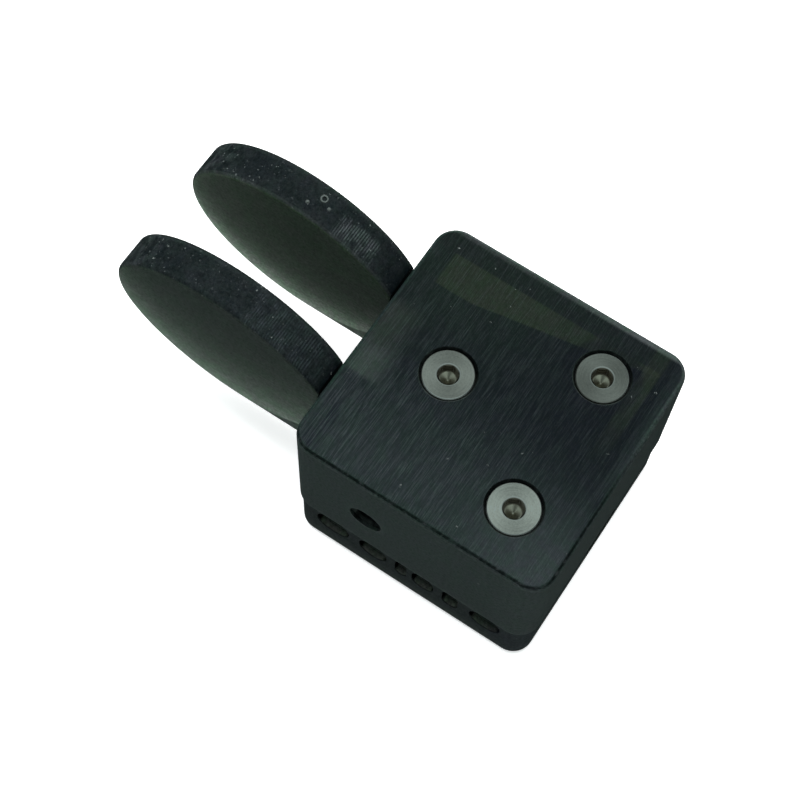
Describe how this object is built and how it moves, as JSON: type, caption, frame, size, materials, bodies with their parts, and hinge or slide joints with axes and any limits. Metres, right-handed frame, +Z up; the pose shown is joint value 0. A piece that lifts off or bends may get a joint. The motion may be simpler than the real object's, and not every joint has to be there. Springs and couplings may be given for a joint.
{
  "type": "twin-lever telegraph key",
  "caption": "Pocket telegraph key: a small square screwed block with oval finger levers that pivot inside it, gap screws in its sides and a round jack at the rear.",
  "frame": {"origin": "centre of the square block in plan, on the plane the grip pad rests on", "axes": "+Z up; the finger levers point to -Y, towards the operator; +X is the operator's right; the jack opens to +Y"},
  "size_m": [0.03, 0.0562, 0.03],
  "materials": {
    "smoked_resin": "dark smoky see-through resin, fine sanded top",
    "smoked_resin_lever": "dark smoky see-through resin, printed face",
    "foot_rubber": "matt black rubber",
    "stainless_screw": "satin stainless",
    "stainless_washer": "bright stainless",
    "black_steel_screw": "black oxide steel",
    "spring_steel": "bright drawn wire",
    "brass_turned": "turned brass",
    "brass_sheet": "sheet brass",
    "tinned_metal": "tinned",
    "jack_plastic": "moulded black",
    "red_wire": "insulation",
    "blue_wire": "insulation",
    "black_wire": "insulation"
  },
  "bodies": {
    "body": {"body_shell": "smoked_resin", "base_plate": "smoked_resin", "anti_slip_pad": "foot_rubber", "front_contact_screw": "stainless_screw", "rear_pivot_screws": "stainless_screw", "threaded_inserts": "brass_turned", "pivot_washers": "stainless_washer", "contact_post": "brass_turned", "solder_tags": "tinned_metal", "return_spring": "spring_steel", "jack_housing": "jack_plastic", "jack_tip_contact": "tinned_metal", "jack_ring_contact": "tinned_metal", "jack_sleeve_contact": "tinned_metal", "left_wire": "red_wire", "right_wire": "blue_wire", "common_wire": "black_wire"},
    "left_lever": {"left_lever": "smoked_resin_lever", "left_pivot_bush": "brass_turned", "left_contact_strip": "brass_sheet", "left_contact_stud": "brass_turned"},
    "right_lever": {"right_lever": "smoked_resin_lever", "right_pivot_bush": "brass_turned", "right_contact_strip": "brass_sheet", "right_contact_stud": "brass_turned"},
    "left_gap_screw": {"left_gap_screw": "black_steel_screw"},
    "right_gap_screw": {"right_gap_screw": "black_steel_screw"}
  },
  "joints": [
    {"name": "left_lever_press", "type": "hinge", "parent": "body", "child": "left_lever", "pos_m": [-0.0085, 0.0078, 0.013], "axis": [0, 0, 1], "range_deg": [0, 2], "deforming": ["return_spring"]},
    {"name": "right_lever_press", "type": "hinge", "parent": "body", "child": "right_lever", "pos_m": [0.0085, 0.0078, 0.013], "axis": [0, 0, -1], "range_deg": [0, 2]},
    {"name": "left_gap_adjust", "type": "slide", "parent": "body", "child": "left_gap_screw", "axis": [-1, 0, 0], "range_m": [0, 0.0007]},
    {"name": "right_gap_adjust", "type": "slide", "parent": "body", "child": "right_gap_screw", "axis": [1, 0, 0], "range_m": [0, 0.0007]}
  ]
}
